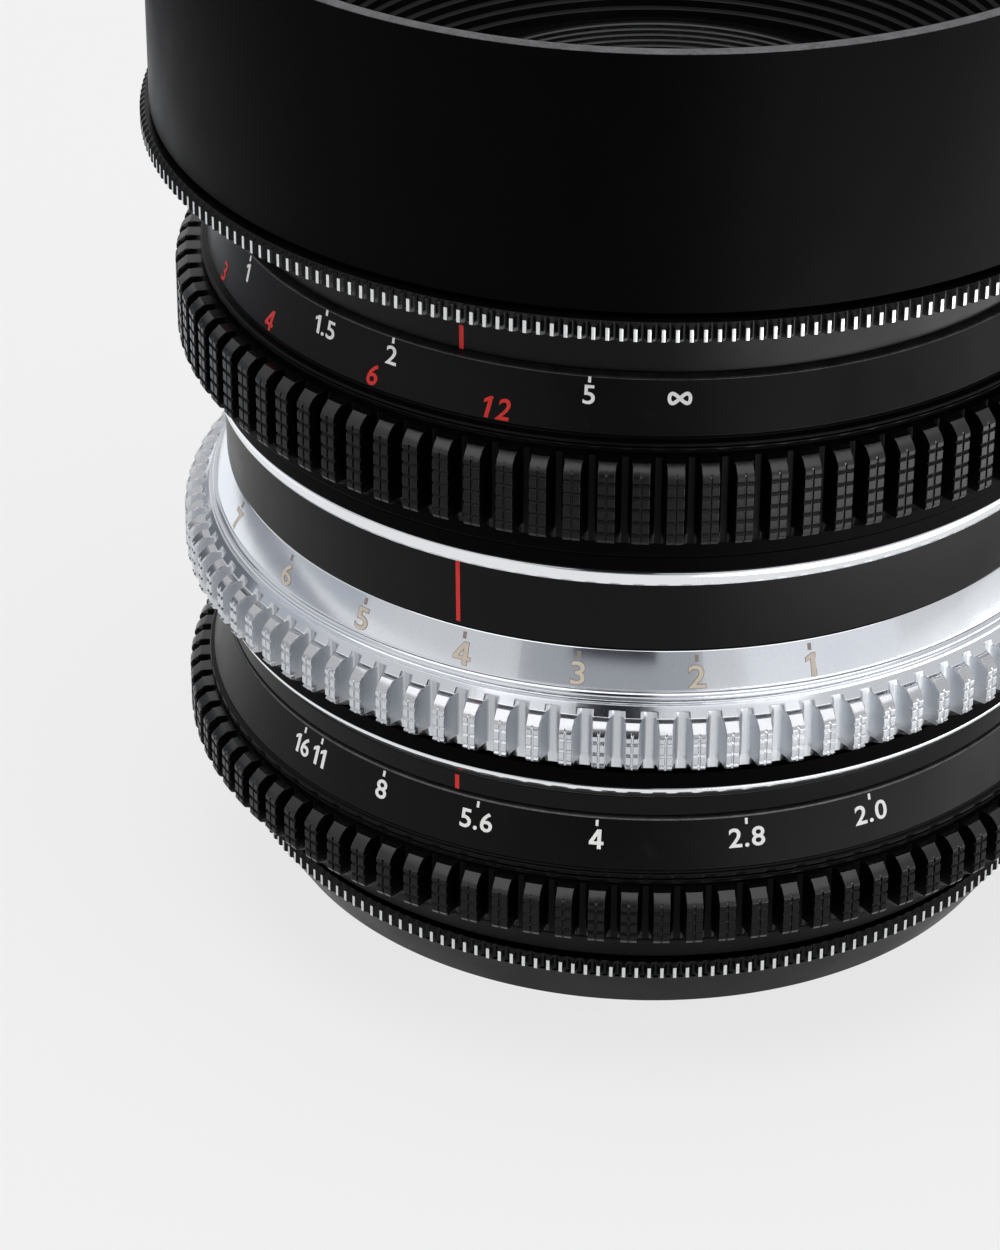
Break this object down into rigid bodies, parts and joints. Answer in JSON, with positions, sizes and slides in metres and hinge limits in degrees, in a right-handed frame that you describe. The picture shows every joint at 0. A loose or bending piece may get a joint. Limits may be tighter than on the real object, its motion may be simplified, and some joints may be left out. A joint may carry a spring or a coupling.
{
  "type": "petzval lens",
  "caption": "Petzval camera lens with geared focus, bokeh and aperture rings, a hood with a ridged baffle, an iris and a bayonet mount.",
  "frame": {"origin": "centre of the mount's flange face, on the optical axis", "axes": "+Z along the optical axis to the front of the lens, -Y towards the index marks, +X completes the right-handed frame"},
  "size_m": [0.0814, 0.0814, 0.0901],
  "materials": {
    "black_anodised": "satin black anodised aluminium with a fine grain",
    "black_matte_paint": "matte black light-trap paint",
    "black_plastic": "matte black moulded plastic",
    "bright_cut_metal": "bright-cut polished bevel",
    "polished_aluminium": "polished turned aluminium",
    "mount_chrome": "satin chromed brass",
    "raw_aluminium": "fine turned aluminium",
    "cam_brass": "turned brass",
    "screw_steel": "machined steel",
    "blade_steel": "blackened spring steel",
    "optical_glass": "coated optical glass"
  },
  "bodies": {
    "barrel": {"front_shell": "black_anodised", "front_knurled_ring": "black_anodised", "front_barrel": "black_anodised", "ridged_baffle": "black_matte_paint", "guide_barrel": "raw_aluminium", "middle_barrel": "black_anodised", "upper_bright_ring": "bright_cut_metal", "upper_collar": "black_anodised", "rear_index_ring": "black_anodised", "lower_bright_ring": "bright_cut_metal", "lower_collar": "black_anodised", "rear_knurled_ring": "black_anodised", "rear_barrel": "black_anodised", "bayonet_mount": "mount_chrome", "mount_screws": "screw_steel", "rear_light_frame": "black_plastic", "front_barrel_screws": "screw_steel", "middle_barrel_screws": "screw_steel", "rear_ring_screws": "screw_steel", "rear_cell": "black_anodised", "rear_crown_lens": "optical_glass", "rear_flint_lens": "optical_glass", "rear_spacer": "black_anodised", "rear_retaining_ring": "black_anodised", "iris_housing": "black_anodised", "iris_cover": "black_anodised"},
    "focus_ring": {"focus_gear_ring": "black_anodised", "focus_cam_sleeve": "cam_brass", "focus_ring_screws": "screw_steel"},
    "focus_cell": {"front_cell": "black_anodised", "front_cam_followers": "cam_brass", "front_crown_lens": "optical_glass", "front_flint_lens": "optical_glass", "front_retaining_ring": "black_anodised"},
    "bokeh_ring": {"bokeh_gear_ring": "polished_aluminium", "bokeh_cam_sleeve": "cam_brass", "bokeh_ring_screws": "screw_steel"},
    "bokeh_carriage": {"bokeh_cell": "black_anodised", "bokeh_cam_followers": "cam_brass", "bokeh_front_lens": "optical_glass", "bokeh_spacer": "black_anodised", "bokeh_rear_lens": "optical_glass", "bokeh_retaining_ring": "black_anodised"},
    "aperture_ring": {"aperture_gear_ring": "black_anodised", "aperture_drive_pin": "screw_steel", "iris_rotor": "black_anodised"},
    "blade_1": {"iris_blade_1": "blade_steel"},
    "blade_2": {"iris_blade_2": "blade_steel"},
    "blade_3": {"iris_blade_3": "blade_steel"},
    "blade_4": {"iris_blade_4": "blade_steel"},
    "blade_5": {"iris_blade_5": "blade_steel"},
    "blade_6": {"iris_blade_6": "blade_steel"},
    "blade_7": {"iris_blade_7": "blade_steel"},
    "blade_8": {"iris_blade_8": "blade_steel"}
  },
  "joints": [
    {"name": "focus_turn", "type": "hinge", "parent": "barrel", "child": "focus_ring", "pos_m": [0, 0, 0.04395], "axis": [0, 0, 1], "range_deg": [-27.3, 80]},
    {"name": "focus_slide", "type": "slide", "parent": "barrel", "child": "focus_cell", "axis": [0, 0, 1], "range_m": [-0.00077, 0.00224]},
    {"name": "bokeh_turn", "type": "hinge", "parent": "barrel", "child": "bokeh_ring", "pos_m": [0, 0, 0.02505], "axis": [0, 0, 1], "range_deg": [-45, 45]},
    {"name": "bokeh_slide", "type": "slide", "parent": "barrel", "child": "bokeh_carriage", "axis": [0, 0, 1], "range_m": [-0.002, 0.002]},
    {"name": "aperture_turn", "type": "hinge", "parent": "barrel", "child": "aperture_ring", "pos_m": [0, 0, 0.00705], "axis": [0, 0, 1], "range_deg": [-53.8, 25.4]},
    {"name": "blade_1_swing", "type": "hinge", "parent": "barrel", "child": "blade_1", "pos_m": [0.02, 0, 0.01505], "axis": [0, 0, 1], "range_deg": [-18.32, 8.65]},
    {"name": "blade_2_swing", "type": "hinge", "parent": "barrel", "child": "blade_2", "pos_m": [0.01414, 0.01414, 0.01505], "axis": [0, 0, 1], "range_deg": [-18.32, 8.65]},
    {"name": "blade_3_swing", "type": "hinge", "parent": "barrel", "child": "blade_3", "pos_m": [0, 0.02, 0.01505], "axis": [0, 0, 1], "range_deg": [-18.32, 8.65]},
    {"name": "blade_4_swing", "type": "hinge", "parent": "barrel", "child": "blade_4", "pos_m": [-0.01414, 0.01414, 0.01505], "axis": [0, 0, 1], "range_deg": [-18.32, 8.65]},
    {"name": "blade_5_swing", "type": "hinge", "parent": "barrel", "child": "blade_5", "pos_m": [-0.02, 0, 0.01505], "axis": [0, 0, 1], "range_deg": [-18.32, 8.65]},
    {"name": "blade_6_swing", "type": "hinge", "parent": "barrel", "child": "blade_6", "pos_m": [-0.01414, -0.01414, 0.01505], "axis": [0, 0, 1], "range_deg": [-18.32, 8.65]},
    {"name": "blade_7_swing", "type": "hinge", "parent": "barrel", "child": "blade_7", "pos_m": [0, -0.02, 0.01505], "axis": [0, 0, 1], "range_deg": [-18.32, 8.65]},
    {"name": "blade_8_swing", "type": "hinge", "parent": "barrel", "child": "blade_8", "pos_m": [0.01414, -0.01414, 0.01505], "axis": [0, 0, 1], "range_deg": [-18.32, 8.65]}
  ],
  "couplings": [
    {"joint": "focus_slide", "follows": "focus_turn", "m_per_rad": 0.0016019},
    {"joint": "bokeh_slide", "follows": "bokeh_turn", "m_per_rad": 0.0025465},
    {"joint": "blade_1_swing", "follows": "aperture_turn", "ratio": 0.34025},
    {"joint": "blade_2_swing", "follows": "aperture_turn", "ratio": 0.34025},
    {"joint": "blade_3_swing", "follows": "aperture_turn", "ratio": 0.34025},
    {"joint": "blade_4_swing", "follows": "aperture_turn", "ratio": 0.34025},
    {"joint": "blade_5_swing", "follows": "aperture_turn", "ratio": 0.34025},
    {"joint": "blade_6_swing", "follows": "aperture_turn", "ratio": 0.34025},
    {"joint": "blade_7_swing", "follows": "aperture_turn", "ratio": 0.34025},
    {"joint": "blade_8_swing", "follows": "aperture_turn", "ratio": 0.34025}
  ]
}
